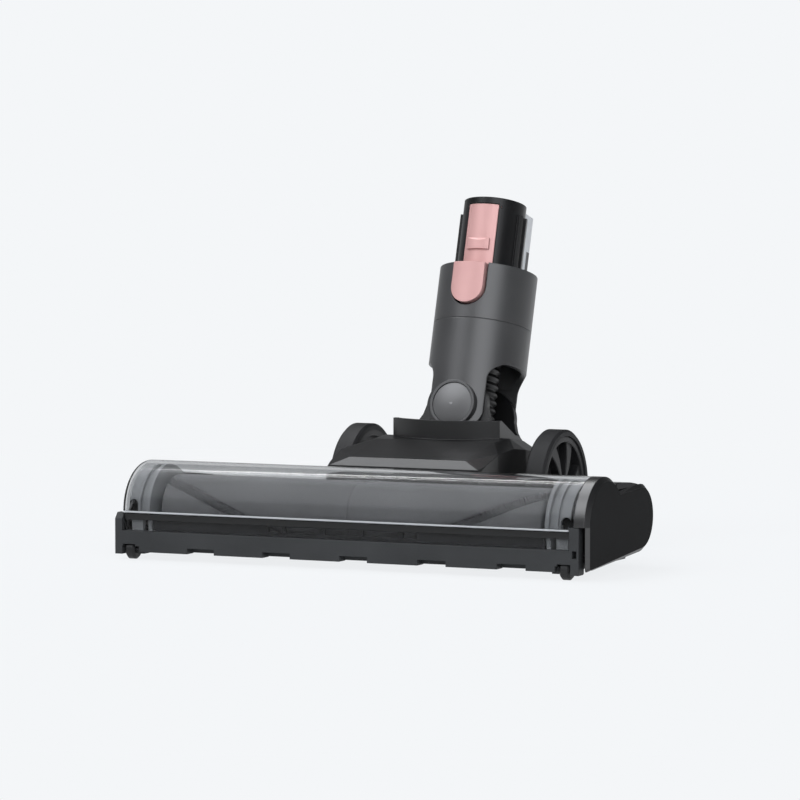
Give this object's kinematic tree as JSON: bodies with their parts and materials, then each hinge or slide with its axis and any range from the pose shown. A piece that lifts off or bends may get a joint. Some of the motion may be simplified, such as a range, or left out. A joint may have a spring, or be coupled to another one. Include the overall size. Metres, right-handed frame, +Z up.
{
  "type": "vacuum floor brush head",
  "caption": "Motorised floor brush head with a clear-covered powered roller, rear wheels, and a tilting, rolling neck that ends in a round wand spigot with a release latch.",
  "frame": {"origin": "middle of the bounding box on the floor", "axes": "+X to the drive-cap side (right, seen from the back of the head), +Y from the front bar to the back, +Z up from the floor"},
  "size_m": [0.256, 0.2104, 0.1798],
  "materials": {
    "dark_housing": "satin moulded",
    "bar_plastic": "satin moulded",
    "neck_plastic": "fine satin moulded",
    "black_plastic": "semi-gloss moulded",
    "clear_cover": "clear smoke-tinted plastic",
    "ring_grey": "satin moulded",
    "pile": "soft velvet pile",
    "bristles": "stiff nylon bristles",
    "seal": "matt",
    "steel": "turned",
    "motor_can": "plated can",
    "sintered": "sintered",
    "belt": "matt",
    "tyre": "satin soft rubber",
    "hub_plastic": "satin moulded",
    "hose": "satin",
    "terminal": "gloss moulded",
    "contacts": "plated",
    "rose": "rose-gold painted, satin"
  },
  "bodies": {
    "head": {"base_housing": "bar_plastic", "inlet_grille": "dark_housing", "rear_seal_strip": "seal", "clear_cover": "clear_cover", "end_plate_left": "ring_grey", "end_plate_right": "ring_grey", "end_cap_left": "dark_housing", "end_cap_right": "dark_housing", "deck_cover": "dark_housing", "rear_hood": "dark_housing", "air_duct": "black_plastic", "housing_screws": "steel", "motor": "motor_can", "motor_cradle": "black_plastic", "drive_belt": "belt", "brush_bearing_left": "steel", "brush_bearing_right": "steel", "wheel_axle_left": "steel", "wheel_axle_right": "steel", "roller_pin_left": "steel", "roller_pin_right": "steel", "tilt_pin_left": "steel", "tilt_pin_right": "steel"},
    "roller": {"brush_core": "black_plastic", "brush_pile": "pile", "brush_bristles": "bristles", "end_plug_left": "black_plastic", "drive_hub": "black_plastic", "brush_pulley": "black_plastic"},
    "armature": {"motor_shaft": "steel", "motor_pulley": "sintered"},
    "lock": {"brush_lock": "black_plastic"},
    "wheel_left": {"rear_wheel_left": "hub_plastic", "tyre_left": "tyre"},
    "wheel_right": {"rear_wheel_right": "hub_plastic", "tyre_right": "tyre"},
    "front_wheel_left": {"front_roller_left": "hub_plastic"},
    "front_wheel_right": {"front_roller_right": "hub_plastic"},
    "yoke": {"tilt_yoke": "dark_housing", "hose_cuff_lower": "black_plastic"},
    "neck": {"neck_tube": "neck_plastic", "neck_collar": "neck_plastic", "spigot": "black_plastic", "terminal_block": "terminal", "contact_blades": "contacts", "hose": "hose", "hose_cuff_upper": "black_plastic", "roll_pin_front": "steel", "roll_pin_rear": "steel", "pivot_cap_front": "neck_plastic", "pivot_cap_rear": "neck_plastic", "latch_spring": "steel"},
    "latch": {"latch_strip": "rose", "release_button": "rose"}
  },
  "joints": [
    {"name": "roller_spin", "type": "hinge", "parent": "head", "child": "roller", "pos_m": [-0.002, -0.08076, 0.024], "axis": [1, 0, 0], "continuous": true},
    {"name": "motor_spin", "type": "hinge", "parent": "head", "child": "armature", "pos_m": [0.084, -0.03876, 0.022], "axis": [1, 0, 0], "continuous": true},
    {"name": "lock_turn", "type": "hinge", "parent": "head", "child": "lock", "pos_m": [-0.1269, -0.08076, 0.024], "axis": [-1, 0, 0], "range_deg": [0, 90]},
    {"name": "wheel_left_spin", "type": "hinge", "parent": "head", "child": "wheel_left", "pos_m": [-0.0512, 0.03474, 0.0307], "axis": [1, 0, 0], "continuous": true},
    {"name": "wheel_right_spin", "type": "hinge", "parent": "head", "child": "wheel_right", "pos_m": [0.0472, 0.03474, 0.0307], "axis": [1, 0, 0], "continuous": true},
    {"name": "front_wheel_left_spin", "type": "hinge", "parent": "head", "child": "front_wheel_left", "pos_m": [-0.1202, -0.09976, 0.0048], "axis": [1, 0, 0], "continuous": true},
    {"name": "front_wheel_right_spin", "type": "hinge", "parent": "head", "child": "front_wheel_right", "pos_m": [0.1152, -0.09976, 0.0048], "axis": [1, 0, 0], "continuous": true},
    {"name": "neck_tilt", "type": "hinge", "parent": "head", "child": "yoke", "pos_m": [-0.002, 0.04324, 0.038], "axis": [-1, 0, 0], "range_deg": [-16.5, 70]},
    {"name": "neck_roll", "type": "hinge", "parent": "yoke", "child": "neck", "pos_m": [-0.002, 0.05168, 0.06648], "axis": [0, -0.9588, 0.284], "range_deg": [-40, 40], "deforming": ["hose"]},
    {"name": "latch_press", "type": "hinge", "parent": "neck", "child": "latch", "pos_m": [-0.002, 0.0683, 0.17398], "axis": [1, 0, 0], "range_deg": [0, 1.9], "stiffness_Nm_per_rad": 4, "springref_deg": -1.15, "deforming": ["latch_spring"]}
  ],
  "couplings": [
    {"joint": "motor_spin", "follows": "roller_spin", "ratio": 2.5}
  ]
}
